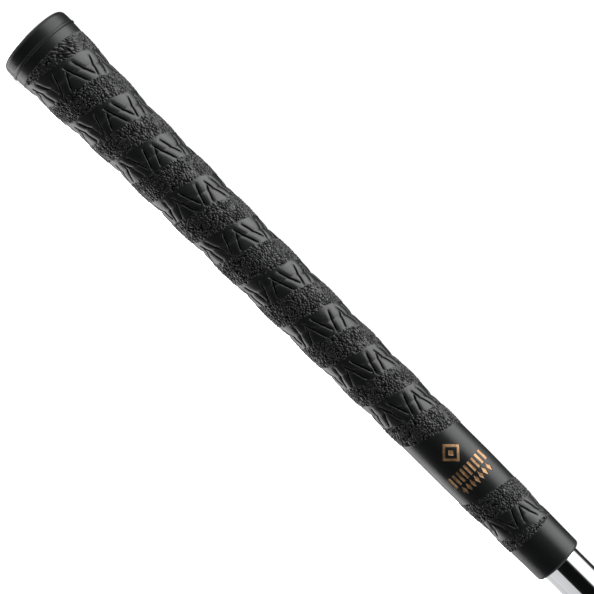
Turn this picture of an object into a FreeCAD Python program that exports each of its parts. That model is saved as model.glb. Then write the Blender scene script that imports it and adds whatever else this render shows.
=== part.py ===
"""Golf grip on the butt end of a steel shaft.

Everything is turned about the X axis, in millimetres.  The origin is the
centre of the vent hole's mouth on the butt end, +X runs down the shaft
towards the club head, +Z is up and the moulded mark faces -Y.

Pieces, from the inside out:
  shaft_tube   chromed steel tube, parallel butt section, then the first step
  grip_tape    double-sided tape, wrapped lengthwise and tucked into the butt
  butt_cap     firm rubber cap with flange, vent hole and a spigot
  grip_sleeve  moulded rubber sleeve with a helical wrap seam
  mark_fill    paint that fills the recessed mark
"""
import FreeCAD
import Part
import Sketcher

import math
import os

Vector = FreeCAD.Vector

# ---------------------------------------------------------------- dimensions
# Alias, value or spreadsheet formula, meaning.  Positions along the shaft
# are distances from the butt end.
DIMENSIONS = [
    # butt cap
    ("butt_plane", 0.0, "plane of the vent hole's mouth"),
    ("vent_radius", 1.6, "vent hole through the cap"),
    ("dome_height", 0.4, "vent hole's mouth to the rim"),
    ("rim_radius", 14.45, "cap at the rim"),
    ("rim_round", 2.2, "round on the rim"),
    ("flange_radius", 14.93, "cap at its lip, proud of the sleeve"),
    ("flange_end", 6.9, "lip's face, where the sleeve starts"),
    ("lip_round", 0.3, "round on the lip"),
    ("cap_floor", 4.6, "seat of the taped shaft"),
    ("spigot_radius", 10.4, "spigot bonded inside the sleeve"),
    ("spigot_end", 15.0, "spigot's end"),
    # shaft
    ("tube_wall", 0.45, "wall of the shaft"),
    ("shaft_radius", 7.62, "0.600 inch parallel butt section"),
    ("shaft_bore", "=shaft_radius - tube_wall", "inner radius of the butt section"),
    ("step_start", 285.2, "first step below the grip"),
    ("step_end", 286.4, "end of the step's cone"),
    ("step_radius", 7.365, "0.580 inch section"),
    ("step_bore", "=step_radius - tube_wall", "inner radius of the 0.580 inch section"),
    ("shaft_end", 300.0, "cut end of the shaft"),
    ("end_break", 0.12, "broken edge at the cut end"),
    # tape
    ("tape_thickness", 0.18, "thickness of the tape"),
    ("tape_radius", "=shaft_radius + tape_thickness", "outside of the taped shaft"),
    ("tape_inner", "=shaft_bore - tape_thickness", "inside of the tucked tape"),
    ("tape_fold", "=cap_floor + tape_thickness", "inner face of the folded tape"),
    ("tape_tuck", 16.6, "end of the tucked tape"),
    ("tape_end", 261.7, "end of the tape, short of the mouth"),
    ("tape_gap", 0.5, "lengthwise gap between the tape's edges"),
    ("gap_start", 2.0, "start of the cut that opens the gap"),
    ("gap_end", 264.7, "end of the cut that opens the gap"),
    ("gap_reach", 12.0, "depth of the cut that opens the gap"),
    # sleeve
    ("mouth_end", 267.2, "the mouth of a 10.5 inch grip"),
    ("mouth_round", 1.15, "round on the mouth"),
    ("mouth_break", 0.25, "broken inside edge of the mouth"),
    # wrap seam, then its separate tail below the mark
    ("seam_pitch", 20.76, "advance of the wrap in one turn"),
    ("seam_front", 21.25, "first crossing of the seam on the -Y side"),
    ("seam_before", 175.0, "degrees of seam before the first crossing"),
    ("seam_after", 3050.0, "degrees of seam after the first crossing"),
    ("tail_pitch", 13.2, "advance of the tail in one turn"),
    ("tail_front", 244.35, "the tail's crossing on the -Y side"),
    ("tail_before", 170.0, "degrees of tail before the crossing"),
    ("tail_after", 170.0, "degrees of tail after the crossing"),
    ("seam_depth", 0.55, "depth of the seam"),
    ("seam_width", 3.0, "width of the seam"),
    # mark
    ("mark_start", 202.5, "start of the marked band"),
    ("mark_end", 230.5, "end of the marked band"),
    ("mark_rise", 0.35, "middle of the mark above the axis"),
    ("emblem_centre", 211.0, "middle of the diamond"),
    ("emblem_half_x", 4.3, "diamond's half length along the shaft"),
    ("emblem_half_z", 4.2, "diamond's half width across the shaft"),
    ("emblem_band", 0.95, "width of the diamond's band"),
    ("emblem_core", 0.3, "size of the solid middle, as a share of the diamond"),
    ("bar_centre", 219.5, "middle of the bars"),
    ("bar_pitch", 1.85, "spacing of the bars"),
    ("bar_length", 4.4, "a bar along the shaft"),
    ("bar_width", 0.95, "a bar across the shaft"),
    ("lozenge_centre", 224.1, "middle of the lozenges"),
    ("lozenge_pitch", 2.0, "spacing of the lozenges"),
    ("lozenge_half_x", 1.9, "a lozenge's half length along the shaft"),
    ("lozenge_half_z", 0.74, "a lozenge's half width across the shaft"),
    ("mark_depth", 0.32, "recess of the mark"),
    ("mark_flush", 0.06, "paint below the rubber's surface"),
    ("mark_clearance", 0.5, "recess cutter above the rubber's surface"),
    ("mark_reach", 20.0, "outlines' extrusion from the axis, past the sleeve"),
]

# Outside of the sleeve: position along the shaft, radius.
STATIONS = [
    ("=flange_end", 14.62), (12.0, 14.36), (22.6, 13.94), (30.6, 13.54),
    (38.6, 13.11), (46.6, 12.71), (58.6, 12.42), (78.6, 12.17),
    (98.6, 11.76), (120.0, 11.57), (142.6, 11.41), (160.0, 11.13),
    (182.6, 10.90), (200.0, 10.66), (222.6, 10.60), (240.0, 10.23),
    (255.0, 9.97), ("=mouth_end", 9.74),
]
# The same stations as pairs of aliases.
SLEEVE_OUTLINE = []
for index, (x, radius) in enumerate(STATIONS, start=1):
    x_name = "station_%d_x" % index
    radius_name = "station_%d_radius" % index
    DIMENSIONS.append((x_name, x, "sleeve station %d" % index))
    DIMENSIONS.append((radius_name, radius, "sleeve radius there"))
    SLEEVE_OUTLINE.append((x_name, radius_name))

BARS_EACH_SIDE = 4          # bars on each side of the middle one
LOZENGES_EACH_SIDE = 3      # lozenges on each side of the middle one
SEAM_POINT_ANGLE = 20       # degrees between points of the seam's curve
SEAM_PIECE_ANGLE = 180      # degrees of seam in one swept piece, roughly
EDGE_TOLERANCE = 0.02       # for finding an edge by its place and radius

doc = FreeCAD.newDocument("golf_grip")
sheet = doc.addObject("Spreadsheet::Sheet", "params")
for column, heading in zip("ABC", ("dimension", "value", "meaning")):
    sheet.set(column + "1", heading)
for row, (name, value, meaning) in enumerate(DIMENSIONS, start=2):
    sheet.set("A%d" % row, name)
    sheet.set("B%d" % row, str(value))
    sheet.set("C%d" % row, meaning)
    sheet.setAlias("B%d" % row, name)
doc.recompute()


# ------------------------------------------------------------------- helpers
def number(name):
    """A dimension as the spreadsheet holds it."""
    return float(getattr(sheet, name))


def bind(feature, prop, name):
    """Sets a feature's property and ties it to the spreadsheet."""
    setattr(feature, prop, number(name))
    feature.setExpression(prop, "params." + name)


def dimension(sketch, kind, refs, name):
    """Adds a driving dimension bound to the spreadsheet."""
    index = sketch.addConstraint(Sketcher.Constraint(kind, *refs, number(name)))
    sketch.setExpression("Constraints[%d]" % index, "params." + name)


def new_body(name, label):
    body = doc.addObject("PartDesign::Body", name)
    body.Label = label
    return body


def new_sketch(body, name, role):
    """Empty sketch on the body's origin plane of that role."""
    sketch = body.newObject("Sketcher::SketchObject", name)
    plane = next(item for item in body.Origin.OriginFeatures if item.Role == role)
    sketch.AttachmentSupport = [(plane, "")]
    sketch.MapMode = "FlatFace"
    return sketch


def arc_centred_on_axis(start, end):
    """Arc between two points, and whether it runs from end to start.

    The centre on the X axis is equally far from both points, and an arc
    always runs counter-clockwise."""
    centre_x = ((end.x ** 2 + end.y ** 2) - (start.x ** 2 + start.y ** 2)) / (
        2 * (end.x - start.x)
    )
    radius = math.hypot(start.x - centre_x, start.y)
    start_angle = math.atan2(start.y, start.x - centre_x)
    end_angle = math.atan2(end.y, end.x - centre_x)
    circle = Part.Circle(Vector(centre_x, 0, 0), Vector(0, 0, 1), radius)
    low, high = sorted((start_angle, end_angle))
    return Part.ArcOfCircle(circle, low, high), start_angle > end_angle


def ring_profile(body, name, points, arc_after=None):
    """Closed half profile in XY, y the radius.

    Points are (x name, radius name).  The vertex arc_after begins a circular
    arc whose centre lies on the X axis."""
    sketch = new_sketch(body, name, "XY_Plane")
    corners = [Vector(number(x), number(radius), 0) for x, radius in points]
    ends = []       # each segment's (start, end) as the sketch's point numbers
    for i, start in enumerate(corners):
        end = corners[(i + 1) % len(corners)]
        if i == arc_after:
            segment, reversed_arc = arc_centred_on_axis(start, end)
        else:
            segment, reversed_arc = Part.LineSegment(start, end), False
        sketch.addGeometry(segment, False)
        ends.append((2, 1) if reversed_arc else (1, 2))
    for i in range(len(ends)):
        j = (i + 1) % len(ends)
        sketch.addConstraint(
            Sketcher.Constraint("Coincident", i, ends[i][1], j, ends[j][0])
        )
    if arc_after is not None:
        sketch.addConstraint(Sketcher.Constraint("PointOnObject", arc_after, 3, -1))
    for i, (x_name, radius_name) in enumerate(points):
        vertex = (i, ends[i][0])
        if x_name == "butt_plane":
            sketch.addConstraint(Sketcher.Constraint("PointOnObject", *vertex, -2))
        else:
            dimension(sketch, "DistanceX", (-1, 1, *vertex), x_name)
        dimension(sketch, "DistanceY", (-1, 1, *vertex), radius_name)
    return sketch


def turn_profile(body, stem, points, arc_after=None, turned="Turned"):
    """Ring profile turned a full circle about the X axis."""
    sketch = ring_profile(body, stem + "Profile", points, arc_after)
    feature = body.newObject("PartDesign::Revolution", stem + turned)
    feature.Profile = sketch
    feature.ReferenceAxis = (sketch, ["H_Axis"])
    feature.Angle = 360.0
    doc.recompute()
    return feature


def edges_at(shape, x, radius):
    """Names of the circular edges of that radius about the X axis at x."""
    found = []
    for i, edge in enumerate(shape.Edges, start=1):
        curve = edge.Curve
        if curve.TypeId != "Part::GeomCircle":
            continue
        if (abs(curve.Center.x - x) < EDGE_TOLERANCE
                and abs(curve.Radius - radius) < EDGE_TOLERANCE):
            found.append("Edge%d" % i)
    return found


def dress_edge(body, base, kind, name, corner, size_name):
    """Fillet or Chamfer on the edge at a profile corner (x name, radius name)."""
    edges = edges_at(base.Shape, *map(number, corner))
    if not edges:
        raise RuntimeError("no edge for " + name)
    feature = body.newObject("PartDesign::" + kind, name)
    feature.Base = (base, edges)
    bind(feature, "Radius" if kind == "Fillet" else "Size", size_name)
    doc.recompute()
    return feature


def closed_face(points):
    return Part.Face(Part.makePolygon(points + points[:1]))


# ---------------------------------------------------------------- shaft tube
def build_shaft():
    body = new_body("ShaftTube", "shaft_tube")
    tube = turn_profile(body, "Shaft", [
        ("tape_fold", "shaft_bore"),
        ("tape_fold", "shaft_radius"),
        ("step_start", "shaft_radius"),
        ("step_end", "step_radius"),
        ("shaft_end", "step_radius"),
        ("shaft_end", "step_bore"),
        ("step_end", "step_bore"),
        ("step_start", "shaft_bore"),
    ])
    dress_edge(body, tube, "Chamfer", "CutEndBreak", ("shaft_end", "step_radius"),
               "end_break")
    return body


# ----------------------------------------------------------------- grip tape
def slit_sketch(body):
    """Rectangle in XZ, centred on the X axis."""
    slit = new_sketch(body, "TapeSlit", "XZ_Plane")
    start, end, half = number("gap_start"), number("gap_end"), number("tape_gap") / 2
    corners = [Vector(start, -half, 0), Vector(end, -half, 0),
               Vector(end, half, 0), Vector(start, half, 0)]
    for i in range(4):
        slit.addGeometry(Part.LineSegment(corners[i], corners[(i + 1) % 4]), False)
    for i in range(4):
        slit.addConstraint(Sketcher.Constraint("Coincident", i, 2, (i + 1) % 4, 1))
    slit.addConstraint(Sketcher.Constraint("Horizontal", 0))
    slit.addConstraint(Sketcher.Constraint("Horizontal", 2))
    slit.addConstraint(Sketcher.Constraint("Vertical", 1))
    slit.addConstraint(Sketcher.Constraint("Symmetric", 0, 1, 2, 2, -1))
    dimension(slit, "DistanceY", (1, 1, 1, 2), "tape_gap")
    dimension(slit, "DistanceX", (-1, 1, 0, 1), "gap_start")
    dimension(slit, "DistanceX", (-1, 1, 0, 2), "gap_end")
    doc.recompute()
    return slit


def build_tape():
    body = new_body("GripTape", "grip_tape")
    turn_profile(body, "Tape", [
        ("cap_floor", "tape_inner"),
        ("cap_floor", "tape_radius"),
        ("tape_end", "tape_radius"),
        ("tape_end", "shaft_radius"),
        ("tape_fold", "shaft_radius"),
        ("tape_fold", "shaft_bore"),
        ("tape_tuck", "shaft_bore"),
        ("tape_tuck", "tape_inner"),
    ], turned="Wrapped")
    # the tape's two long edges do not quite meet, on the side away from the mark
    gap = body.newObject("PartDesign::Pocket", "TapeGap")
    gap.Profile = slit_sketch(body)
    gap.Type = "Length"
    bind(gap, "Length", "gap_reach")
    doc.recompute()
    # the gap belongs on the +Y side, so the tape left behind leans to -Y
    if gap.Shape.isNull() or gap.Shape.Solids[0].CenterOfMass.y > 0:
        gap.Reversed = not gap.Reversed
        doc.recompute()
    return body


# ------------------------------------------------------------------ butt cap
def build_cap():
    body = new_body("ButtCap", "butt_cap")
    rim_corner = ("dome_height", "rim_radius")
    lip_corner = ("flange_end", "flange_radius")
    # the arc after the first corner is the domed end
    blank = turn_profile(body, "Cap", [
        ("butt_plane", "vent_radius"),
        rim_corner,
        lip_corner,
        ("flange_end", "spigot_radius"),
        ("spigot_end", "spigot_radius"),
        ("spigot_end", "tape_radius"),
        ("cap_floor", "tape_radius"),
        ("cap_floor", "vent_radius"),
    ], arc_after=0)
    rim = dress_edge(body, blank, "Fillet", "RimRound", rim_corner, "rim_round")
    dress_edge(body, rim, "Fillet", "LipRound", lip_corner, "lip_round")
    return body


# -------------------------------------------------------------- sleeve blank
def build_sleeve_blank():
    """The sleeve before its seam and mark are cut."""
    body = new_body("SleeveBlank", "sleeve_blank")
    inner_mouth = ("mouth_end", "shaft_radius")
    moulded = turn_profile(body, "Sleeve", SLEEVE_OUTLINE + [
        inner_mouth,
        ("tape_end", "shaft_radius"),
        ("tape_end", "tape_radius"),
        ("spigot_end", "tape_radius"),
        ("spigot_end", "spigot_radius"),
        ("flange_end", "spigot_radius"),
    ])
    mouth = dress_edge(body, moulded, "Fillet", "MouthRound", SLEEVE_OUTLINE[-1],
                       "mouth_round")
    dress_edge(body, mouth, "Chamfer", "MouthBreak", inner_mouth, "mouth_break")
    return body


SURFACE = [(number(x), number(radius)) for x, radius in SLEEVE_OUTLINE]


def sleeve_radius(x):
    """Outside radius of the sleeve at x."""
    for (x_a, radius_a), (x_b, radius_b) in zip(SURFACE, SURFACE[1:]):
        if x <= x_b:
            return radius_a + (radius_b - radius_a) * (x - x_a) / (x_b - x_a)
    return SURFACE[-1][1]


# ------------------------------------------------------------------ the mark
# An open diamond with a solid middle, a row of bars and a row of lozenges.
# The outlines lie in XZ, seen from -Y, and are pressed into the -Y side.
def lozenge(x, z, half_x, half_z):
    return closed_face([
        Vector(x - half_x, 0, z), Vector(x, 0, z + half_z),
        Vector(x + half_x, 0, z), Vector(x, 0, z - half_z),
    ])


def bar(x, z, length, width):
    half_x, half_z = length / 2, width / 2
    return closed_face([
        Vector(x - half_x, 0, z - half_z), Vector(x + half_x, 0, z - half_z),
        Vector(x + half_x, 0, z + half_z), Vector(x - half_x, 0, z + half_z),
    ])


def row(shape, each_side, centre, pitch, size_x, size_z):
    """Equal faces in a row across the shaft; all but the count are aliases."""
    return [
        shape(number(centre), number("mark_rise") + i * number(pitch),
              number(size_x), number(size_z))
        for i in range(-each_side, each_side + 1)
    ]


def mark_faces():
    half_x, half_z = number("emblem_half_x"), number("emblem_half_z")

    def diamond(scale):
        return lozenge(number("emblem_centre"), number("mark_rise"),
                       half_x * scale, half_z * scale)

    # moving each side of the diamond in by the band's width scales it
    shrink = 1 - number("emblem_band") * math.hypot(half_x, half_z) / (half_x * half_z)
    return (
        [diamond(1).cut(diamond(shrink)), diamond(number("emblem_core"))]
        + row(bar, BARS_EACH_SIDE, "bar_centre", "bar_pitch", "bar_length", "bar_width")
        + row(lozenge, LOZENGES_EACH_SIDE, "lozenge_centre", "lozenge_pitch",
              "lozenge_half_x", "lozenge_half_z")
    )


def skin(start, end, upper, lower):
    """Ring that follows the sleeve, between two depths below its surface."""
    xs = sorted({start, end} | {x for x, _ in SURFACE if start < x < end})
    outline = [Vector(x, sleeve_radius(x) - upper, 0) for x in xs]
    outline += [Vector(x, sleeve_radius(x) - lower, 0) for x in reversed(xs)]
    return closed_face(outline).revolve(Vector(0, 0, 0), Vector(1, 0, 0), 360)


def pressed_mark(upper, lower):
    """The mark's outlines as solids between two depths on the -Y side."""
    ring = skin(number("mark_start"), number("mark_end"), upper, lower)
    reach = Vector(0, -number("mark_reach"), 0)
    solids = []
    for face in mark_faces():
        solids += face.extrude(reach).common(ring).Solids
    return Part.makeCompound(solids)


# ----------------------------------------------------------------- wrap seam
def seam_cutter(stem):
    """Round-bottomed cutter that follows the sleeve's surface in a helix.

    It is one bead drawn along the helix, its middle outside the sleeve so
    that it bites the seam's depth and width."""
    front, pitch, before, after = [
        number(stem + ending) for ending in ("_front", "_pitch", "_before", "_after")
    ]
    depth, width = number("seam_depth"), number("seam_width")
    bead_radius = (width * width / 4 + depth * depth) / (2 * depth)
    steps = int((before + after) / SEAM_POINT_ANGLE)
    path = []
    for i in range(steps + 1):
        turn = math.radians(-before + (before + after) * i / steps)
        x = front + pitch * turn / (2 * math.pi)
        radius = sleeve_radius(x) - depth + bead_radius
        path.append(Vector(x, -radius * math.cos(turn), radius * math.sin(turn)))
    curve = Part.BSplineCurve()
    curve.interpolate(path)
    # short lengths of the one curve keep the swept faces small
    pieces = max(1, round((before + after) / SEAM_PIECE_ANGLE))
    first, last = curve.FirstParameter, curve.LastParameter
    cuts = [first + (last - first) * i / pieces for i in range(pieces + 1)]
    spine = Part.Wire([curve.toShape(a, b) for a, b in zip(cuts, cuts[1:])])
    heading = curve.tangent(first)[0]
    section = Part.Wire(Part.Circle(path[0], heading, bead_radius).toShape())
    return spine.makePipeShell([section], True, False)


# ------------------------------------------------------------------ assembly
def add_shape(name, label, shape):
    feature = doc.addObject("Part::Feature", name)
    feature.Label = label
    feature.Shape = shape
    return feature


def add_cut(name, label, base, tool):
    feature = doc.addObject("Part::Cut", name)
    feature.Base = base
    feature.Tool = tool
    feature.Label = label
    doc.recompute()
    return feature


shaft = build_shaft()
tape = build_tape()
cap = build_cap()
sleeve_blank = build_sleeve_blank()

wrap = add_shape("WrapSeam", "wrap_seam",
                 Part.makeCompound([seam_cutter("seam"), seam_cutter("tail")]))
grooved = add_cut("GroovedSleeve", "grooved_sleeve", sleeve_blank, wrap)

recess = add_shape("MarkRecess", "mark_recess",
                   pressed_mark(-number("mark_clearance"), number("mark_depth")))
fill = add_shape("MarkFill", "mark_fill",
                 pressed_mark(number("mark_flush"), number("mark_depth")))
sleeve = add_cut("GripSleeve", "grip_sleeve", grooved, recess)

# -------------------------------------------------------------------- export
for item in doc.Objects:
    if "Invalid" in item.State or "Error" in item.State:
        raise RuntimeError("%s is %s" % (item.Label, item.State))

os.makedirs("parts", exist_ok=True)
for piece in (shaft, tape, cap, sleeve, fill):
    shape = piece.Shape
    if shape.isNull() or not shape.isValid() or not shape.Solids:
        raise RuntimeError("%s has no valid solid" % piece.Label)
    shape.exportStep(os.path.join("parts", piece.Label + ".step"))
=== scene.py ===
"""Golf grip on a steel shaft: the visual model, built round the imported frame.

The shaft lies along X, its butt end near x = 0 and its tip towards +X; the
mark is on the -Y side.  Shapes are in millimetres and mesh angles in degrees
round the shaft from the -Y side towards +Z; the stage is in metres.
"""
import math
from itertools import product

import bpy
import numpy as np
from mathutils import Matrix, Vector


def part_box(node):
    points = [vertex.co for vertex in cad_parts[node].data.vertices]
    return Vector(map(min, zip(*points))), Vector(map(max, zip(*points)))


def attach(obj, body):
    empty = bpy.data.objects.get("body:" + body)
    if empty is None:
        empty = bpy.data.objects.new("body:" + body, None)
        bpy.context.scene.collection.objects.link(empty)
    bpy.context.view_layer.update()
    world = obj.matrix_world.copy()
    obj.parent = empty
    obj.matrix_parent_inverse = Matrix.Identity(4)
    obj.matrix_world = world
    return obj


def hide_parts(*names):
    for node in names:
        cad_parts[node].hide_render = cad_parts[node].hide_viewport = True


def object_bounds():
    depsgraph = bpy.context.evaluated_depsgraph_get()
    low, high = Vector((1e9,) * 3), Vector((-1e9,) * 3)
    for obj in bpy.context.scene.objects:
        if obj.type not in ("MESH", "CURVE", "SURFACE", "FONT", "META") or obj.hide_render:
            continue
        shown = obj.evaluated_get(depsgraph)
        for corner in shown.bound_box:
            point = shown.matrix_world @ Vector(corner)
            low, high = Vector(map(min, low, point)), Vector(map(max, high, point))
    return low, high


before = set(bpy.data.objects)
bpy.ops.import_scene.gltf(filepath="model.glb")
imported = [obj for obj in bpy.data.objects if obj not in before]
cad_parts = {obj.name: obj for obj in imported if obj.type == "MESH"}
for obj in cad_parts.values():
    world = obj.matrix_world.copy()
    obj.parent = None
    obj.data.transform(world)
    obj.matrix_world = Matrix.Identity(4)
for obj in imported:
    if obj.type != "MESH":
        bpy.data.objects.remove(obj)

CAD_BOX = [list(corner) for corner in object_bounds()]
MM = 0.001

# the CAD sets the ends of these pieces
SLEEVE_LO, SLEEVE_HI = [corner[0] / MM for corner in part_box("grip_sleeve")]
SHAFT_LO, SHAFT_HI = [corner[0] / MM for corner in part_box("shaft_tube")]
TAPE_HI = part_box("grip_tape")[1][0] / MM

# fits between the pieces
SHAFT_R = 7.62
BORE_R = 7.80               # room for the shaft and its tape
PLUG_R, PLUG_END = 10.40, 15.0      # part of the cap inside the sleeve

# mesh density
SLEEVE_COLUMNS = 560
SLEEVE_STEP = 0.17
MARK_STEP = 0.13
TURNED_COLUMNS = 320


# ------------------------------------------------------------------ numbers
def ramp(start, end, value):
    """Smooth step from 0 at start to 1 at end."""
    k = np.clip((value - start) / (end - start), 0.0, 1.0)
    return k * k * (3.0 - 2.0 * k)


def scramble(cell, seed):
    """Repeatable scramble of integer cells to 32 bits."""
    bits = (
        cell[:, 0].astype(np.uint32) * np.uint32(0x8DA6B343)
        ^ cell[:, 1].astype(np.uint32) * np.uint32(0xD8163841)
        ^ cell[:, 2].astype(np.uint32) * np.uint32(0xCB1AB31F)
        ^ np.uint32((seed * 0x9E3779B9) & 0xFFFFFFFF)
    )
    bits ^= bits >> np.uint32(15)
    bits *= np.uint32(0x2C1B3C6D)
    bits ^= bits >> np.uint32(12)
    bits *= np.uint32(0x297A2D39)
    bits ^= bits >> np.uint32(15)
    return bits


def value_noise(points, seed):
    """Smooth noise, 0 to 1, at points given in cells."""
    base = np.floor(points).astype(np.int64)
    part = points - base
    part = part * part * (3.0 - 2.0 * part)
    total = np.zeros(len(points))
    for corner in product((0, 1), repeat=3):
        wx, wy, wz = [part[:, axis] if step else 1 - part[:, axis]
                      for axis, step in enumerate(corner)]
        total += wx * wy * wz * (scramble(base + corner, seed) / 4294967295.0)
    return total


def cells(points, seed):
    """Distances to the nearest and the second nearest scattered point."""
    base = np.floor(points).astype(np.int64)
    near = np.full(len(points), 9.0)
    second = np.full(len(points), 9.0)
    for step in product((-1, 0, 1), repeat=3):
        cell = base + step
        bits = scramble(cell, seed)
        squared = 0.0
        for axis in range(3):
            # ten of the bits place the cell's point along each axis
            share = ((bits >> np.uint32(10 * axis)) & np.uint32(1023)) / 1023.0
            place = cell[:, axis] + 0.1 + 0.8 * share
            squared = squared + (place - points[:, axis]) ** 2
        second = np.minimum(second, np.maximum(near, squared))
        near = np.minimum(near, squared)
    return np.sqrt(near), np.sqrt(second)


def smooth_curve(xs, ys):
    """Natural cubic through the given points, as a function of x."""
    xs, ys = np.array(xs, float), np.array(ys, float)
    count = len(xs)
    gap = np.diff(xs)
    system = np.zeros((count, count))
    target = np.zeros(count)
    system[0, 0] = system[-1, -1] = 1.0
    for i in range(1, count - 1):
        system[i, i - 1:i + 2] = gap[i - 1], 2 * (gap[i - 1] + gap[i]), gap[i]
        target[i] = 6 * ((ys[i + 1] - ys[i]) / gap[i] - (ys[i] - ys[i - 1]) / gap[i - 1])
    bend = np.linalg.solve(system, target)

    def at(x):
        x = np.asarray(x, float)
        i = np.clip(np.searchsorted(xs, x) - 1, 0, count - 2)
        lo, hi = xs[i], xs[i + 1]
        span = hi - lo
        return (
            bend[i] * (hi - x) ** 3 / (6 * span) + bend[i + 1] * (x - lo) ** 3 / (6 * span)
            + (ys[i] / span - bend[i] * span / 6) * (hi - x)
            + (ys[i + 1] / span - bend[i + 1] * span / 6) * (x - lo)
        )

    return at


# ------------------------------------------------------------ sleeve's shape
# (x, mean radius of the rubber)
BODY = np.array([
    (6.9, 14.57), (7.6, 14.57), (9.4, 14.50), (14.7, 14.27), (22.6, 13.87), (30.6, 13.47),
    (38.6, 13.04), (46.6, 12.64), (54.6, 12.41), (62.6, 12.28), (70.6, 12.19), (78.6, 12.08),
    (86.6, 11.92), (94.6, 11.76), (102.6, 11.65), (110.6, 11.57), (118.6, 11.50),
    (126.6, 11.45), (134.6, 11.40), (142.6, 11.33), (150.6, 11.21), (158.6, 11.07),
    (166.6, 10.99), (174.6, 10.90), (182.6, 10.80), (190.6, 10.69), (198.6, 10.61),
    (206.6, 10.59), (214.6, 10.60), (222.6, 10.58), (230.6, 10.42), (238.6, 10.26),
    (246.6, 10.13), (254.6, 9.97), (262.6, 9.83), (267.2, 9.75),
])
base_r = smooth_curve(*BODY.T)
PLAIN_DROP = 0.03           # the plain surface lies this far under the mean


def plain_r(x):
    return base_r(x) - PLAIN_DROP


# The wrap is one helix.  Middle of its smooth band on the -Y side at each
# whole turn, from two turns before the first one on the sleeve's pebbled part.
BAND_X = [-18.9, 1.2, 21.3, 41.45, 61.55, 82.3, 103.25, 125.2, 146.45, 167.15,
          187.15, 207.8, 228.5]
TURN_TABLE = np.linspace(-720, 3600, 8641)
BAND_TABLE = smooth_curve(range(-720, 3601, 360), BAND_X)(TURN_TABLE)
WRAP_PITCH = 20.7

# The lacing, as (turn angle, phase): at each whole phase the strokes meet on
# the tip side of the band, at each half phase on the butt side.
LACE_TURN, LACE_PHASE = np.array([
    (-720.0, -11.75), (-64, -1.5), (32.7, 0), (296, 4.5), (391.8, 6), (671.5, 10.5),
    (734.5, 11.5), (769, 12), (1020.5, 16), (1116, 17.5), (1378, 21.5), (1450, 22.5),
    (1487, 23), (1759.3, 27), (1830.8, 28), (2102, 32), (2171, 33), (2209, 33.5),
    (2458, 37), (2527.4, 38), (2559, 38.5), (2808, 42), (2880, 43), (2914, 43.5),
    (3614, 53.5),
]).T
LACE_DEGREES = np.diff(LACE_TURN) / np.diff(LACE_PHASE)     # per phase

# Strokes within one phase: from (phase, distance from the band's middle) to
# the same.  The pillow is the dip of the lands towards the strokes.
WRAP_LACING = dict(
    strokes=[(0.030, 4.7, 0.245, -3.6), (0.275, 4.7, 0.490, -1.8),
             (-0.030, 3.4, -0.250, -3.8), (-0.275, 4.9, -0.497, -3.4)],
    depth=0.60, half_width=0.44, pillow=0.13, pillow_reach=1.5)
TAIL_LACING = dict(
    strokes=[(0.030, 2.6, 0.245, -4.2), (0.275, 2.4, 0.490, -4.0),
             (-0.030, 2.2, -0.250, -4.2), (-0.275, 2.8, -0.497, -4.0)],
    depth=0.54, half_width=0.42, pillow=0.10, pillow_reach=1.3)

# the short band on the tip side of the mark
TAIL_X, TAIL_PITCH = 244.35, 13.2
TAIL_PHASE, TAIL_PHASE_START = 72.0, 12.0       # degrees

# the smooth panel that carries the mark, on the -Y side
PANEL_LO, PANEL_HI, PANEL_OVERRUN = 202.4, 230.6, 0.2
PANEL_HI_CLIMB = 18.0       # of its tip edge in one turn
PEBBLE_LO, PEBBLE_HI = 10.6, 252.2

# The mark: a lozenge ring round a small lozenge, a row of bars and a row of
# lozenges.  Half sizes are (along the shaft, across it).
MARK_RISE = 0.35            # of the mark's middle above the axis
EMBLEM_X, EMBLEM_HALF = 211.0, (4.3, 4.2)
EMBLEM_LINE = 0.95          # width of the ring
CORE_HALF = [half * 0.3 for half in EMBLEM_HALF]
BAR_X, BAR_HALF = 219.5, (4.4 / 2, 0.95 / 2)
BAR_Z = [i * 1.85 for i in range(-4, 5)]
LOZENGE_X, LOZENGE_HALF = 224.1, (1.9, 0.74)
LOZENGE_Z = [i * 2.0 for i in range(-3, 4)]


def lozenge_distance(x, z, middle_x, middle_z, half):
    half_x, half_z = half
    reach = np.abs(x - middle_x) / half_x + np.abs(z - middle_z) / half_z - 1.0
    return reach * half_x * half_z / math.hypot(half_x, half_z)


def mark_distance(x, z):
    """Distance outside the mark's outlines; negative inside them."""
    z = z - MARK_RISE
    outer = lozenge_distance(x, z, EMBLEM_X, 0, EMBLEM_HALF)
    dist = np.maximum(outer, -(outer + EMBLEM_LINE))
    dist = np.minimum(dist, lozenge_distance(x, z, EMBLEM_X, 0, CORE_HALF))
    for bar_z in BAR_Z:
        bar = np.maximum(np.abs(x - BAR_X) - BAR_HALF[0], np.abs(z - bar_z) - BAR_HALF[1])
        dist = np.minimum(dist, bar)
    for middle_z in LOZENGE_Z:
        dist = np.minimum(dist, lozenge_distance(x, z, LOZENGE_X, middle_z, LOZENGE_HALF))
    return dist


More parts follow.
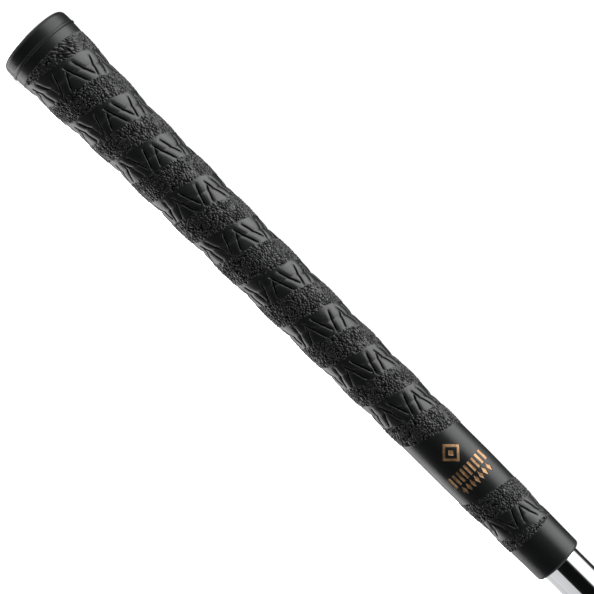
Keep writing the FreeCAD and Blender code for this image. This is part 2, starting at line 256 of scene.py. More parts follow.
def lacing(offset, phase, length, slope, strokes, depth, half_width, pillow, pillow_reach):
    """Depth of the laced grooves, and of the dip of the lands beside them.

    length is that of one phase round the sleeve; slope is the helix's climb."""
    cut = np.zeros_like(offset)
    near = np.full_like(offset, 9.0)
    part = phase - np.round(phase)          # -0.5 .. 0.5, whole phase at 0
    for n in (-1, 0, 1):
        for phase_a, offset_a, phase_b, offset_b in strokes:
            # true distances: a step round the sleeve also climbs the helix
            ax, bx = (n + phase_a - part) * length, (n + phase_b - part) * length
            ay, by = offset_a - offset + ax * slope, offset_b - offset + bx * slope
            run_x, run_y = bx - ax, by - ay
            k = np.clip(-(ax * run_x + ay * run_y) / (run_x * run_x + run_y * run_y), 0.0, 1.0)
            dist = np.hypot(ax + k * run_x, ay + k * run_y)
            # a stroke is shallower where it starts and runs out
            full = 1.0 - 0.5 * ramp(0.70, 1.0, np.abs(2.0 * k - 1.0))
            cut = np.maximum(cut, full * (1.0 - ramp(half_width * 0.15, half_width, dist)))
            near = np.minimum(near, dist)
    return cut * depth, pillow * (1 - ramp(0.2, pillow_reach, near))


def notch(offset, depth, width):
    """Depth of the crease along a band's middle."""
    return depth * np.exp(-np.sqrt(offset * offset + 0.02) / width)


def panel_edges(t):
    """Butt and tip edges of the smooth panel.

    They follow the wrap, a little off it by the sine, and close at +Y."""
    lean = 0.75 * np.sin(np.radians(t))
    above = ramp(90.0, 180.0, t)
    below = ramp(-120.0, -180.0, t)
    butt_edge = PANEL_LO + WRAP_PITCH * t / 360.0 - WRAP_PITCH * above - lean
    tip_edge = (PANEL_HI + PANEL_OVERRUN + PANEL_HI_CLIMB * t / 360.0
                + PANEL_HI_CLIMB * below - lean)
    return butt_edge, tip_edge


def main_wrap(x, t, r, wander, cover):
    """Mask of the smooth band, height of the wrap, grooves and pillows."""
    turn_here = np.interp(x, BAND_TABLE, TURN_TABLE)
    turn = t + 360.0 * np.round((turn_here - t) / 360.0)
    offset = x - np.interp(turn, TURN_TABLE, BAND_TABLE)
    band = (1 - ramp(5.25, 5.90, np.abs(offset) + wander)) * cover
    swell = 0.5 - 0.5 * np.cos(math.pi * np.clip((np.abs(offset) - 5.2) / 5.2, 0, 1))
    phase = np.interp(turn, LACE_TURN, LACE_PHASE)
    length = np.radians(np.interp(turn, LACE_TURN[:-1], LACE_DEGREES)) * r
    laced, pillow = lacing(offset, phase, length, WRAP_PITCH / (2 * math.pi) / r,
                           **WRAP_LACING)
    return band, -notch(offset, 0.60, 1.15) + 0.17 * swell, laced, pillow


def tail_wrap(x, t, r, wander, cover):
    """The same for the short band; at +Y its two ends run past each other."""
    behind = ramp(100.0, 150.0, np.abs(t))
    first = x - (TAIL_X + TAIL_PITCH * t / 360.0)
    other = np.clip(np.round(first / TAIL_PITCH), -1, 1)
    offset = first - other * TAIL_PITCH
    there = np.where(other == 0, 1.0, behind)
    band = (1 - ramp(4.45, 5.10, np.abs(offset) + wander)) * cover * there
    swell = (ramp(4.6, 7.5, np.abs(first)) * (1 - behind)
             + ramp(4.6, 7.5, np.abs(offset)) * behind)
    laced, pillow = lacing(offset, (t + TAIL_PHASE_START) / TAIL_PHASE,
                           np.radians(TAIL_PHASE) * r, TAIL_PITCH / (2 * math.pi) / r,
                           **TAIL_LACING)
    return band, -(notch(offset, 0.40, 1.05) * there) + 0.06 * swell, laced, pillow


def cracks_and_crowns(points, seed, crack_width):
    near, second = cells(points, seed)
    return 1 - ramp(0.02, crack_width, second - near), 1.0 - ramp(0.05, 0.95, near)


def leather(spots, x, t, r, pebble):
    """Height of the grain on the pebbled field, and its cracks."""
    chosen = np.nonzero(pebble.ravel() > 0.01)[0]
    p = spots[chosen]
    warp = np.stack([value_noise(p / 2.1 + 31.7 * k, 11 + k) - 0.5 for k in range(3)], 1)
    crack, crown = cracks_and_crowns((p + 1.5 * warp) / 1.10, 5, 0.27)
    crack *= 0.35 + 0.65 * ramp(0.15, 0.55, value_noise(p / 1.4, 21))
    fine = value_noise(p / 0.48, 41) - 0.5

    # beside the cap the leather lies in long slanting creases
    px, pt = x.ravel()[chosen], t.ravel()[chosen]
    creased = (1 - ramp(15.5, 18.5, px)) * ramp(-4.0, 8.0, pt) * (1 - ramp(38.0, 54.0, pt))
    some = np.nonzero(creased > 0.01)[0]
    cx, cy = px[some], r.ravel()[chosen][some] * np.radians(pt[some])
    lean = math.radians(50.0)
    along = (cx * math.cos(lean) + cy * math.sin(lean)) / 3.3
    across = (cy * math.cos(lean) - cx * math.sin(lean)) / 1.15
    creases = np.stack([along, across, np.full_like(along, 0.5)], 1) + 0.7 * warp[some]
    long_crack, long_crown = cracks_and_crowns(creases, 9, 0.34)
    crack[some] += creased[some] * (long_crack - crack[some])
    crown[some] += creased[some] * (long_crown - crown[some])

    grain, gap = np.zeros(x.size), np.zeros(x.size)
    grain[chosen] = 0.19 * crown - 0.35 * crack + 0.13 * fine
    gap[chosen] = crack
    return grain.reshape(x.shape), gap.reshape(x.shape)


def around_shaft(x, r, t):
    """Points at x and radius r, t degrees round the shaft."""
    angle = np.radians(t)
    return np.stack([x, -r * np.cos(angle), r * np.sin(angle)], -1)


def relief(x, t):
    """Radius of the moulded surface, its pebble and wrapped masks, and the mask of the hollows
    that carries painted shade.

    x in millimetres, t in degrees, same shape."""
    r = base_r(x)
    spots = around_shaft(x, r, t).reshape(-1, 3)
    # the edges of the bands wander a little, as tooled leather does
    wander = 0.9 * (value_noise(spots / 1.6, 61).reshape(x.shape) - 0.5)

    butt_edge, tip_edge = panel_edges(t)
    panel = ramp(-0.25, 0.25, x - butt_edge) * (1 - ramp(-0.25, 0.25, x - tip_edge))
    collar = 1 - ramp(PEBBLE_LO - 0.35, PEBBLE_LO + 0.35, x) * (
        1 - ramp(PEBBLE_HI - 0.35, PEBBLE_HI + 0.35, x)
    )
    open_field = 1 - collar

    # the main wrap stops at the panel, and the short band starts after it
    main_on = 1 - ramp(butt_edge - 0.2, butt_edge + 0.6, x)
    tail_on = ramp(tip_edge - 0.6, tip_edge + 0.2, x)
    main, main_height, main_laced, main_pillow = main_wrap(x, t, r, wander, main_on)
    tail, tail_height, tail_laced, tail_pillow = tail_wrap(x, t, r, wander, tail_on)
    main_on = main_on * open_field

    pebble = (1 - np.maximum(main, tail)) * (1 - panel) * open_field
    height = np.full_like(x, -PLAIN_DROP)
    height += main_on * main_height
    height += 0.05 * pebble
    height += tail_on * open_field * tail_height
    grooves = main_laced * main * main_on + tail_laced * tail * open_field
    height -= main_pillow * main * main_on
    height -= tail_pillow * tail * open_field

    # recess of the mark, with a fine raised edge
    z = r * np.sin(np.radians(t))
    dist = np.where(np.abs(t) < 75.0, mark_distance(x, z), 9.0)
    height -= 0.22 * (1 - ramp(-0.13, 0.03, dist))
    height += 0.025 * (ramp(0.0, 0.12, dist) * (1 - ramp(0.12, 0.45, dist)))

    grain, gap = leather(spots, x, t, r, pebble)
    height += pebble * grain - grooves
    # mask of painted shade: how deep a point lies in a crack or groove, for the material to
    # paint these hollows darker
    hollow_shade = np.clip(gap * pebble + (grooves / 0.58) ** 2, 0, 1)
    return r + height, pebble, hollow_shade, (1 - panel) * open_field


# ------------------------------------------------------------------- meshes
def new_mesh(name, points, faces):
    """Object from numpy vertices (millimetres) and four-sided faces."""
    mesh = bpy.data.meshes.new(name)
    points = np.ascontiguousarray(points, np.float32).reshape(-1, 3) * MM
    faces = np.ascontiguousarray(faces, np.int32).reshape(-1, 4)
    mesh.vertices.add(len(points))
    mesh.vertices.foreach_set("co", points.ravel())
    mesh.loops.add(faces.size)
    mesh.loops.foreach_set("vertex_index", faces.ravel())
    mesh.polygons.add(len(faces))
    mesh.polygons.foreach_set("loop_start", np.arange(0, faces.size, 4, dtype=np.int32))
    mesh.update(calc_edges=True)
    mesh.validate()
    mesh.shade_smooth()
    ob = bpy.data.objects.new(name, mesh)
    bpy.context.scene.collection.objects.link(ob)
    return ob


def grid_faces(rows, cols, closed):
    """Quads of a grid of vertices, numbered row by row; closed both ways or open."""
    i = np.arange(rows if closed else rows - 1)
    j = np.arange(cols if closed else cols - 1)
    row, col = np.meshgrid(i, j, indexing="ij")
    row2, col2 = (row + 1) % rows, (col + 1) % cols
    corners = [row * cols + col, row * cols + col2, row2 * cols + col2, row2 * cols + col]
    return np.stack(corners, -1).reshape(-1, 4)


def rings(outline, columns):
    """Grids of x and of radius from an (x, radius) outline."""
    outline = np.array(outline, float)
    return np.repeat(outline[:, :1], columns, 1), np.repeat(outline[:, 1:2], columns, 1)


def column_angles(columns):
    return np.linspace(-180.0, 180.0, columns, endpoint=False)


def turned_mesh(name, x, r):
    """Closed ring from grids of x and radius, one column for each angle."""
    rows, columns = x.shape
    points = around_shaft(x, r, column_angles(columns))
    return new_mesh(name, points, grid_faces(rows, columns, True)[:, ::-1])


def rounded(points, radii, steps=6):
    """Closed outline with its corners rounded."""
    out = []
    for i, radius in enumerate(radii):
        p = np.array(points[i], float)
        before = np.array(points[i - 1], float) - p
        after = np.array(points[(i + 1) % len(points)], float) - p
        len_before, len_after = np.linalg.norm(before), np.linalg.norm(after)
        before, after = before / len_before, after / len_after
        half = math.acos(float(before @ after)) / 2
        back = min(radius / math.tan(half), len_before * 0.49, len_after * 0.49)
        radius = back * math.tan(half)
        mid = (before + after) / np.linalg.norm(before + after)
        centre = p + mid * (radius / math.sin(half))
        start, end = p + before * back - centre, p + after * back - centre
        turn = math.copysign(math.pi - 2 * half, start[0] * end[1] - start[1] * end[0])
        for k in range(steps + 1):
            angle = turn * k / steps
            out.append((
                centre[0] + start[0] * math.cos(angle) - start[1] * math.sin(angle),
                centre[1] + start[0] * math.sin(angle) + start[1] * math.cos(angle),
            ))
    return out


def split_sides(outline, longest):
    """The same outline with long sides split."""
    out = []
    for i, p in enumerate(outline):
        q = outline[(i + 1) % len(outline)]
        n = max(1, int(math.dist(p, q) / longest))
        for k in range(n):
            out.append((p[0] + (q[0] - p[0]) * k / n, p[1] + (q[1] - p[1]) * k / n))
    return out


# -------------------------------------------------------------- shader nodes
def feed(tree, target, inputs):
    """Link sockets to the inputs of a node, and set its plain values."""
    for key, value in inputs.items():
        if isinstance(value, bpy.types.NodeSocket):
            tree.links.new(value, target.inputs[key])
        else:
            target.inputs[key].default_value = value


def node(tree, kind, inputs=None, **props):
    new = tree.nodes.new(kind)
    for key, value in props.items():
        setattr(new, key, value)
    feed(tree, new, inputs or {})
    return new


def material(name):
    """New material, its node tree and its Principled node."""
    new = bpy.data.materials.new(name)
    new.use_nodes = True
    tree = new.node_tree
    tree.nodes.clear()
    out = node(tree, "ShaderNodeOutputMaterial")
    bsdf = node(tree, "ShaderNodeBsdfPrincipled")
    tree.links.new(bsdf.outputs[0], out.inputs[0])
    return new, tree, bsdf


def maths(tree, operation, *values, clamp=False):
    return node(tree, "ShaderNodeMath", dict(enumerate(values)),
                operation=operation, use_clamp=clamp).outputs[0]


def remap(tree, value, source, target):
    """Carry value from the source range to the target range."""
    return node(tree, "ShaderNodeMapRange",
                dict(enumerate((value, *source, *target)))).outputs[0]


def blend_colour(tree, factor, a, b):
    return node(tree, "ShaderNodeMix", {0: factor, 6: a, 7: b}, data_type="RGBA").outputs[2]


def blend_value(tree, factor, a, b):
    return node(tree, "ShaderNodeMix", {0: factor, 2: a, 3: b}, data_type="FLOAT").outputs[0]


def noise(tree, vector, scale, detail=3.0, roughness=0.55):
    return node(tree, "ShaderNodeTexNoise", {
        "Vector": vector, "Scale": scale, "Detail": detail, "Roughness": roughness,
    }).outputs["Fac"]


def bump(tree, height, strength, distance, under=None):
    """Bumped normal; under is a normal to lay it over."""
    inputs = {"Height": height, "Strength": strength, "Distance": distance}
    if under:
        inputs["Normal"] = under
    return node(tree, "ShaderNodeBump", inputs).outputs[0]


def object_coords(tree):
    return node(tree, "ShaderNodeTexCoord").outputs["Object"]


def mask(tree, name):
    return node(tree, "ShaderNodeAttribute", attribute_name=name).outputs["Fac"]


# ---------------------------------------------------------------- materials
def rubber(name, roughness, ior, pebble_roughness=None):
    """Black moulded rubber with an uneven bloom and light scuffs.

    With a pebble roughness it also reads the sleeve's masks, and paints shade into the
    sleeve's hollows."""
    new, tree, bsdf = material(name)
    pos = object_coords(tree)
    large = noise(tree, pos, scale=55.0, detail=4.0)
    small = noise(tree, pos, scale=900.0)
    micro = noise(tree, pos, scale=5200.0, detail=2.0)
    colour = blend_colour(tree, large, (0.0074, 0.0086, 0.0078, 1),
                          (0.0122, 0.0140, 0.0128, 1))
    rough = remap(tree, large, (0.3, 0.7), (roughness - 0.04, roughness + 0.05))
    if pebble_roughness is not None:
        pebble = mask(tree, "pebble")
        hollow_shade = mask(tree, "hollow_shade")
        extra = maths(tree, "MULTIPLY", pebble, pebble_roughness - roughness)
        rough = maths(tree, "ADD", rough, extra)
        rough = maths(tree, "MULTIPLY_ADD", hollow_shade, 0.18, rough, clamp=True)
        # painted shade: the colour goes near black in the cracks and grooves
        colour = blend_colour(tree, maths(tree, "MULTIPLY", hollow_shade, 0.85), colour,
                              (0.0012, 0.0013, 0.0013, 1))
        # painted shade: the hollows' reflection is cut down too, so they stay dull and dark
        # under any light; the wrap is glossier than the plain collars
        wrapped = mask(tree, "wrapped")
        specular = maths(tree, "MULTIPLY",
                         remap(tree, hollow_shade, (0.30, 1.0), (0.5, 0.05)),
                         remap(tree, wrapped, (0.0, 1.0), (1.0, 1.38)))
        feed(tree, bsdf, {"Specular IOR Level": specular})
        # the scuffs keep out of the hollows
        scuff = remap(tree, small, (0.60, 0.78), (0.0, 0.30))
        scuff = maths(tree, "MULTIPLY", scuff, maths(tree, "SUBTRACT", 1.0, hollow_shade))
        scuff_colour = (0.026, 0.027, 0.026, 1)
    else:
        scuff = remap(tree, small, (0.62, 0.80), (0.0, 0.22))
        scuff_colour = (0.016, 0.017, 0.017, 1)
    coarse = bump(tree, small, strength=0.35, distance=0.00006)
    feed(tree, bsdf, {
        "Base Color": blend_colour(tree, scuff, colour, scuff_colour),
        "Roughness": rough,
        "IOR": ior,
        "Normal": bump(tree, micro, strength=0.30, distance=0.000015, under=coarse),
    })
    return new


def chrome(name):
    new, tree, bsdf = material(name)
    # polishing marks run round the tube: stretched noise in x and angle
    pos = object_coords(tree)
    split = node(tree, "ShaderNodeSeparateXYZ", {0: pos})
    angle = maths(tree, "ARCTAN2", split.outputs[2], split.outputs[1])
    stretched = node(tree, "ShaderNodeCombineXYZ", {
        0: maths(tree, "MULTIPLY", split.outputs[0], 9000.0),
        1: maths(tree, "MULTIPLY", angle, 2.2),
    }).outputs[0]
    lines = noise(tree, stretched, scale=1.0, roughness=0.6)
    cloud = noise(tree, pos, scale=60.0, detail=4.0)
    spots = noise(tree, pos, scale=1400.0, detail=2.0)
    rough = remap(tree, cloud, (0.35, 0.75), (0.035, 0.085))
    spot_rough = remap(tree, spots, (0.66, 0.80), (0.0, 0.10))
    feed(tree, bsdf, {
        "Base Color": blend_colour(tree, cloud, (0.74, 0.755, 0.78, 1),
                                   (0.83, 0.84, 0.855, 1)),
        "Roughness": maths(tree, "ADD", rough, spot_rough),
        "Metallic": 1.0,
        "Normal": bump(tree, lines, strength=0.10, distance=0.000004),
    })
    return new


def gold(name):
    """Cloudy gold paint with fine flakes."""
    new, tree, bsdf = material(name)
    pos = object_coords(tree)
    cloud = noise(tree, pos, scale=380.0, detail=4.0)
    voronoi = node(tree, "ShaderNodeTexVoronoi", {"Vector": pos, "Scale": 9000.0})
    flake = node(tree, "ShaderNodeSeparateColor", {0: voronoi.outputs["Color"]}).outputs[0]
    worn = remap(tree, cloud, (0.36, 0.64), (0.0, 1.0))
    colour = blend_colour(tree, worn, (0.11, 0.038, 0.009, 1), (0.48, 0.275, 0.13, 1))
    colour = blend_colour(tree, maths(tree, "MULTIPLY", flake, 0.22), colour,
                          (0.58, 0.39, 0.22, 1))
    clouded = bump(tree, cloud, strength=0.5, distance=0.00005)
    feed(tree, bsdf, {
        "Base Color": colour,
        "Metallic": 0.48,
        "Roughness": remap(tree, cloud, (0.3, 0.7), (0.42, 0.56)),
        "Normal": bump(tree, flake, strength=0.18, distance=0.00001, under=clouded),
    })
    return new


def paper(name):
    """Creped tape paper, its creases stretched along the shaft."""
    new, tree, bsdf = material(name)
    pos = object_coords(tree)
    stretched = node(tree, "ShaderNodeMapping", {
        "Vector": object_coords(tree), "Scale": (260.0, 1500.0, 1500.0)}).outputs[0]
    crepe = noise(tree, stretched, scale=1.0)
    fibre = noise(tree, pos, scale=2600.0, detail=4.0)
    feed(tree, bsdf, {
        "Base Color": blend_colour(tree, fibre, (0.50, 0.42, 0.28, 1), (0.68, 0.60, 0.44, 1)),
        "Roughness": remap(tree, fibre, (0.3, 0.7), (0.70, 0.90)),
        "Normal": bump(tree, crepe, strength=0.6, distance=0.00008),
    })
    return new


SLEEVE_RUBBER = rubber("sleeve_rubber", roughness=0.31, ior=1.353, pebble_roughness=0.32)
CAP_RUBBER = rubber("cap_rubber", roughness=0.28, ior=1.31)
CHROME = chrome("chromed_steel")
GOLD = gold("gold_paint")
PAPER = paper("tape_paper")


def fit(ob, look, cad_piece):
    """Give the object its material and its place in the frame."""
    ob.data.materials.append(look)
    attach(ob, "root")
    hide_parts(cad_piece)
    return ob


# ------------------------------------------------------------------- sleeve
HEAD_START = 0.18           # from the butt end to the moulded surface
HEAD_ROUND = 0.16
LIP = 1.15                  # length of the rounding at the tip end
MARK_ROWS = 203.0, 230.0    # where the rows lie closer


def sleeve_head():
    """Butt end face and its small rounding."""
    start_r = float(plain_r(SLEEVE_LO + HEAD_START))
    head = [(SLEEVE_LO, r) for r in (PLUG_R, 12.0, 13.6, start_r - 0.20)]
    for degrees in (15, 32, 50, 68):
        a = math.radians(degrees)
        head.append((SLEEVE_LO + HEAD_ROUND * (1 - math.cos(a)),
                     start_r - HEAD_ROUND + HEAD_ROUND * math.sin(a)))
    return head


def sleeve_foot(last):
    """Rounding at the tip end, then the bore back to the cap's plug."""
    mouth_r = float(base_r(SLEEVE_HI)) - PLAIN_DROP
    end_r = float(plain_r(last))
    drop = end_r - mouth_r
    foot = []
    for i in range(1, 13):
        a = math.radians(90.0 * i / 12)
        foot.append((last + LIP * math.sin(a),
                     end_r - drop * math.sin(a) - LIP * (1 - math.cos(a))))
    foot += [(SLEEVE_HI, 8.10), (SLEEVE_HI, 7.90), (SLEEVE_HI - 0.05, 7.78),
             (SLEEVE_HI - 0.20, 7.66), (SLEEVE_HI - 0.45, SHAFT_R), (264.5, SHAFT_R),
             (TAPE_HI + 0.05, SHAFT_R), (TAPE_HI, 7.64), (TAPE_HI, BORE_R)]
    foot += [(float(x), BORE_R) for x in np.linspace(TAPE_HI - 0.1, 15.1, 60)]
    foot += [(PLUG_END, 7.82), (PLUG_END, 10.38), (14.8, PLUG_R), (10.0, PLUG_R)]
    return foot


def build_sleeve():
    first, last = SLEEVE_LO + HEAD_START, SLEEVE_HI - LIP
    mark_lo, mark_hi = MARK_ROWS
    xs = np.concatenate([
        np.arange(first, mark_lo, SLEEVE_STEP),
        np.arange(mark_lo, mark_hi, MARK_STEP),
        np.arange(mark_hi, last, SLEEVE_STEP),
        [last],
    ])
    x, t = np.meshgrid(xs, column_angles(SLEEVE_COLUMNS), indexing="ij")
    r, pebble, hollow_shade, wrapped = relief(x, t)
    # the tip end closes onto a plain circle
    k = ramp(last - 2.0, last, x)
    r = r * (1 - k) + plain_r(x) * k

    head, foot = sleeve_head(), sleeve_foot(last)
    head_x, head_r = rings(head, SLEEVE_COLUMNS)
    foot_x, foot_r = rings(foot, SLEEVE_COLUMNS)
    ob = turned_mesh("grip_sleeve_moulded", np.concatenate([head_x, x, foot_x]),
                     np.concatenate([head_r, r, foot_r]))
    # the hollow mask goes to the rubber, which paints shade into the cracks and grooves from
    # it
    for name, values in (("pebble", pebble), ("hollow_shade", hollow_shade), ("wrapped", wrapped)):
        values = np.pad(values, ((len(head), len(foot)), (0, 0)))
        attribute = ob.data.attributes.new(name, "FLOAT", "POINT")
        attribute.data.foreach_set("value", np.ascontiguousarray(values, np.float32).ravel())
    return fit(ob, SLEEVE_RUBBER, "grip_sleeve")


# ----------------------------------------------------------------- butt cap
HOLE_R = 1.6                # hole in the middle of the crown
CROWN_R, CROWN_SAG = 14.45, 0.4     # the crown would fall this far at this radius
CROWN_BALL = (CROWN_R ** 2 - HOLE_R ** 2 + CROWN_SAG ** 2) / (2 * CROWN_SAG)


def crown_x(r):
    return CROWN_BALL - math.sqrt(CROWN_BALL * CROWN_BALL - r * r + HOLE_R * HOLE_R)


def cap_outline():
    """Closed (x, radius) outline, from the hole out over the crown."""
    out = [(4.6, HOLE_R), (2.4, HOLE_R), (0.42, HOLE_R), (0.20, 1.65), (0.07, 1.80),
           (crown_x(2.1), 2.1)]
    # almost flat crown, with a fine ring groove at radius 9.8
    for r in np.linspace(2.4, 12.3, 34):
        out.append((crown_x(r) + 0.16 * math.exp(-((r - 9.8) / 0.30) ** 2), float(r)))
    # soft corner from the crown to the side
    x0, r0 = crown_x(12.5), 12.5
    x1, r1 = 2.40, 14.60
    for i in range(19):
        a = math.radians(90.0 * i / 18)
        out.append((x1 - (x1 - x0) * math.cos(a), r0 + (r1 - r0) * math.sin(a)))
    # side, rising to a fine lip over the joint
    out += [(2.9, 14.63), (3.6, 14.66), (4.3, 14.675), (4.9, 14.66), (5.2, 14.65),
            (5.45, 14.665), (5.65, 14.71), (5.85, 14.80), (6.03, 14.88), (6.20, 14.925),
            (6.36, 14.925), (6.50, 14.885), (6.62, 14.82), (6.73, 14.745), (6.82, 14.68),
            (6.87, 14.63), (6.90, 14.56), (6.90, 14.2), (6.90, 12.5), (6.90, 10.44)]
    # plug, and the socket for the shaft inside it
    out += [(6.93, PLUG_R), (8.2, PLUG_R), (12.0, PLUG_R), (14.6, PLUG_R), (14.9, 10.36),
            (PLUG_END, 10.25), (PLUG_END, 9.0), (PLUG_END, 7.92), (14.92, 7.82),
            (14.7, BORE_R), (10.0, BORE_R), (4.75, BORE_R), (4.62, 7.76), (4.60, 7.6),
            (4.60, 5.0)]
    return out


def build_butt_cap():
    ob = turned_mesh("butt_cap_moulded", *rings(cap_outline(), TURNED_COLUMNS))
    return fit(ob, CAP_RUBBER, "butt_cap")


# -------------------------------------------------------------------- shaft
SHAFT_WALL = 0.45
NECK_R = 7.365              # beyond the step down towards the tip
STEP_LO, STEP_HI = 285.2, 286.4


def build_shaft():
    bore_r, neck_bore_r = SHAFT_R - SHAFT_WALL, NECK_R - SHAFT_WALL
    # (x, radius), rounding of the corner
    corners = [
        ((SHAFT_LO, bore_r), 0.05), ((SHAFT_LO, SHAFT_R), 0.08),
        ((STEP_LO, SHAFT_R), 1.5), ((STEP_HI, NECK_R), 1.5),
        ((SHAFT_HI, NECK_R), 0.13), ((SHAFT_HI, neck_bore_r), 0.08),
        ((STEP_HI, neck_bore_r), 0.8), ((STEP_LO, bore_r), 0.8),
    ]
    outline = split_sides(rounded(*zip(*corners)), longest=4.0)
    ob = turned_mesh("shaft_tube_polished", *rings(outline, TURNED_COLUMNS))
    return fit(ob, CHROME, "shaft_tube")


# --------------------------------------------------------------------- mark
PAINT_TOP, PAINT_SAG, PAINT_FLOOR = 0.050, 0.035, 0.20      # under the plain surface


def on_surface(x, z, sink):
    z = z + MARK_RISE
    r = plain_r(x) - sink
    return np.stack([x, -np.sqrt(r * r - z * z), z], -1)


def paint_layers(x, z, inward):
    """Top and floor of the paint.

    It is drawn up the walls a little: inward is 0 at them, 1 or more within."""
    top = on_surface(x, z, PAINT_TOP + PAINT_SAG * ramp(0.0, 1.0, inward))
    return top, on_surface(x, z, PAINT_FLOOR)


def lozenge_corners(x, z, half_x, half_z):
    return [(x - half_x, z), (x, z - half_z), (x + half_x, z), (x, z + half_z)]


def paint_pad(corners, nu, nv):
    """Points and faces of the paint in a four-cornered recess."""
    u = np.linspace(0, 1, nu)[:, None]
    v = np.linspace(0, 1, nv)[None, :]
    c = np.array(corners, float)
    x, z = [(1 - u) * (1 - v) * c[0][k] + u * (1 - v) * c[1][k]
            + u * v * c[2][k] + (1 - u) * v * c[3][k] for k in (0, 1)]
    inward = np.minimum(np.minimum(u, 1 - u) * 4, np.minimum(v, 1 - v) * 4)
    top, floor = paint_layers(x, z, inward)
    top_faces = grid_faces(nu, nv, False)
    rim = np.array([i * nv for i in range(nu)]
                   + [(nu - 1) * nv + j for j in range(1, nv)]
                   + [i * nv + nv - 1 for i in range(nu - 2, -1, -1)]
                   + list(range(nv - 2, 0, -1)))
    after = np.roll(rim, -1)
    below = nu * nv
    walls = np.stack([rim, rim + below, after + below, after], -1)
    return (np.concatenate([top, floor]).reshape(-1, 3),
            np.concatenate([top_faces, top_faces[:, ::-1] + below, walls]))


def emblem_ring():
    """Points and faces of the paint in the lozenge ring."""
    half_x, half_z = EMBLEM_HALF
    shrink = 1 - EMBLEM_LINE * math.hypot(half_x, half_z) / (half_x * half_z)
    per_side, across = 14, 5
    tips = lozenge_corners(EMBLEM_X, 0.0, half_x, -half_z)
    loop = []
    for i, a in enumerate(tips):
        b = tips[(i + 1) % 4]
        for k in np.linspace(0, 1, per_side, endpoint=False):
            loop.append((a[0] + (b[0] - a[0]) * k, a[1] + (b[1] - a[1]) * k))
    loop = np.array(loop)
    scale = np.linspace(1.0, shrink, across)[:, None]
    x = EMBLEM_X + (loop[None, :, 0] - EMBLEM_X) * scale
    z = loop[None, :, 1] * scale
    step = np.linspace(0, 1, across)
    top, floor = paint_layers(x, z, np.minimum(step, 1 - step)[:, None] * 2.5)
    points = np.concatenate([top, floor[::-1]]).reshape(-1, 3)
    return points, grid_faces(2 * across, 4 * per_side, True)


def build_mark():
    core_x, core_z = CORE_HALF
    # ring and core run round the other way from the row of lozenges
    parts = [emblem_ring(),
             paint_pad(lozenge_corners(EMBLEM_X, 0.0, core_x, -core_z), 7, 7)]
    length, width = BAR_HALF
    for z in BAR_Z:
        parts.append(paint_pad([
            (BAR_X - length, z - width), (BAR_X + length, z - width),
            (BAR_X + length, z + width), (BAR_X - length, z + width)], 20, 8))
    for z in LOZENGE_Z:
        parts.append(paint_pad(lozenge_corners(LOZENGE_X, z, *LOZENGE_HALF), 9, 9))
    faces, count = [], 0
    for part_points, part_faces in parts:
        faces.append(part_faces + count)
        count += len(part_points)
    points = np.concatenate([part[0] for part in parts])
    ob = new_mesh("mark_fill_paint", points, np.concatenate(faces))
    return fit(ob, GOLD, "mark_fill")


SLEEVE, CAP, MARK, SHAFT = build_sleeve(), build_butt_cap(), build_mark(), build_shaft()

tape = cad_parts["grip_tape"]
tape.data.materials.clear()
tape.data.materials.append(PAPER)


# -------------------------------------------------------------------- stage
def build_floor():
    z = CAD_BOX[0][2] / MM - 0.05
    half = 4000.0
    corners = [[-half, -half, z], [half, -half, z], [half, half, z], [-half, half, z]]
    ob = new_mesh("floor", corners, [[0, 1, 2, 3]])
    white, tree, bsdf = material("floor_white")
    tint = noise(tree, object_coords(tree), scale=3.0)
    feed(tree, bsdf, {
        "Base Color": blend_colour(tree, tint, (0.80, 0.80, 0.80, 1), (0.84, 0.84, 0.84, 1)),
        "Roughness": 0.9,
        "Specular IOR Level": 0.0,
        "Emission Color": (1, 1, 1, 1),
        "Emission Strength": 0.78,
    })
    ob.data.materials.append(white)
    # it is seen, but the studio round it does the lighting
    ob.visible_glossy = False
    ob.visible_diffuse = False
    ob.visible_shadow = False


# (degrees round the shaft from the camera's side upwards, light level): black
# on the camera's side, a softbox above, dim beneath, pale low down behind
STUDIO = [
    (-180, 0.9), (-150, 0.95), (-134, 0.9), (-116, 0.84), (-102, 0.80), (-98, 0.16),
    (-88, 0.14), (-60, 0.11), (-50, 0.09), (-40, 0.04), (-30, 0.01), (-18, 0.006),
    (26, 0.006), (34, 0.04), (41, 1.2), (48, 3.4), (57, 5.4), (66, 6.2), (90, 6.2),
    (99, 4.6), (106, 2.4), (113, 0.95), (121, 0.2), (130, 0.03), (180, 0.02),
]
STUDIO_TOP = 8.0            # level at the ramp's white
END_WALLS = 0.9
BACKDROP = 1.05             # level the camera itself sees


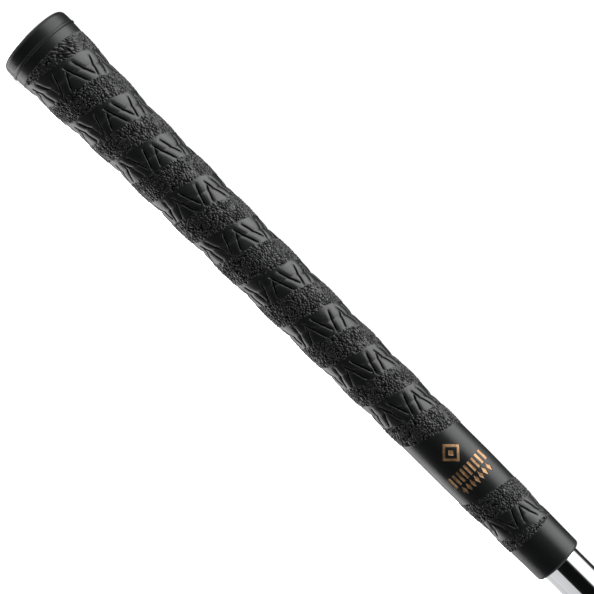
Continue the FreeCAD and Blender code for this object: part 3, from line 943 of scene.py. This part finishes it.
def build_world():
    """A studio of long panels parallel to the shaft."""
    world = bpy.data.worlds.new("studio")
    bpy.context.scene.world = world
    world.use_nodes = True
    tree = world.node_tree
    tree.nodes.clear()
    sky = node(tree, "ShaderNodeTexCoord").outputs["Generated"]
    x, y, z = node(tree, "ShaderNodeSeparateXYZ", {0: sky}).outputs
    angle = maths(tree, "ARCTAN2", z, maths(tree, "MULTIPLY", y, -1.0))
    place = maths(tree, "MULTIPLY_ADD", angle, 1 / (2 * math.pi), 0.5, clamp=True)
    colours = node(tree, "ShaderNodeValToRGB", {0: place})
    stops = colours.color_ramp.elements
    stops.remove(stops[-1])
    for i, (degrees, value) in enumerate(STUDIO):
        stop = stops[0] if i == 0 else stops.new((degrees + 180) / 360)
        grey = value / STUDIO_TOP
        stop.color = (grey, grey, grey, 1)
    level = maths(tree, "MULTIPLY", colours.outputs[0], STUDIO_TOP)
    # the panels weaken towards their ends, and plain pale walls close the
    # studio beyond both ends of the shaft
    along = maths(tree, "ABSOLUTE", x)
    level = maths(tree, "MULTIPLY", level, remap(tree, along, (0.09, 0.19), (1.0, 0.85)))
    ends = remap(tree, along, (0.50, 0.85), (0.0, 1.0))
    level = blend_value(tree, ends, level, END_WALLS)
    from_camera = node(tree, "ShaderNodeLightPath").outputs["Is Camera Ray"]
    background = node(tree, "ShaderNodeBackground", {
        "Color": (1, 1, 1, 1),
        "Strength": blend_value(tree, from_camera, level, BACKDROP)})
    node(tree, "ShaderNodeOutputWorld", {0: background.outputs[0]})
    world.cycles.sampling_method = "MANUAL"
    world.cycles.sample_map_resolution = 1024


PANEL_DISTANCE = 0.60       # metres from the axis


def build_panel(name, angle, start, end, width, level, pieces):
    """Long soft lamp beside the shaft, facing its axis, and kept to the given
    pieces, as a flag would keep it off the others."""
    length = end - start
    lamp = bpy.data.lights.new(name, "AREA")
    lamp.shape = "RECTANGLE"
    lamp.size, lamp.size_y = length, width
    lamp.energy = level * math.pi * length * width
    ob = bpy.data.objects.new(name, lamp)
    bpy.context.scene.collection.objects.link(ob)
    angle = math.radians(angle)
    out = Vector((0.0, -math.cos(angle), math.sin(angle)))
    side = Vector((1.0, 0.0, 0.0))
    place = Matrix((side, out.cross(side), out)).transposed().to_4x4()
    place.translation = Vector(((start + end) / 2, 0.0, 0.0)) + out * PANEL_DISTANCE
    ob.matrix_world = place
    linked = bpy.data.collections.new(name)
    for piece in pieces:
        linked.objects.link(piece)
    ob.light_linking.receiver_collection = linked


# the view's right, along the shaft and up; metres
VIEW_X, VIEW_Z = 0.7098, 0.7044
CAMERA_PLACE = 0.1333, -0.748, 0.0011


def build_camera():
    """Level camera on the -Y side, rolled so that the shaft lies aslant."""
    camera = bpy.data.cameras.new("camera")
    camera.sensor_width = 36.0
    camera.lens = 126.06060606
    camera.clip_start, camera.clip_end = 0.02, 30.0
    ob = bpy.data.objects.new("camera", camera)
    bpy.context.scene.collection.objects.link(ob)
    x, y, z = CAMERA_PLACE
    ob.matrix_world = Matrix((
        (VIEW_X, -VIEW_Z, 0.0, x),
        (0.0, 0.0, -1.0, y),
        (VIEW_Z, VIEW_X, 0.0, z),
        (0, 0, 0, 1),
    ))
    bpy.context.scene.camera = ob


build_floor()
build_world()
# bright rim on the rubber's lower side, and grey for the steel's
build_panel("rim_panel", angle=-118.0, start=-0.50, end=0.37, width=0.44, level=2.6,
            pieces=[SLEEVE, CAP, MARK])
build_panel("steel_panel", angle=-69.8, start=-0.47, end=0.73, width=0.70, level=0.66,
            pieces=[SHAFT])
build_camera()

view = bpy.context.scene.view_settings
view.view_transform = "Standard"
view.look = "None"
view.exposure = 0.0
view.gamma = 1.0
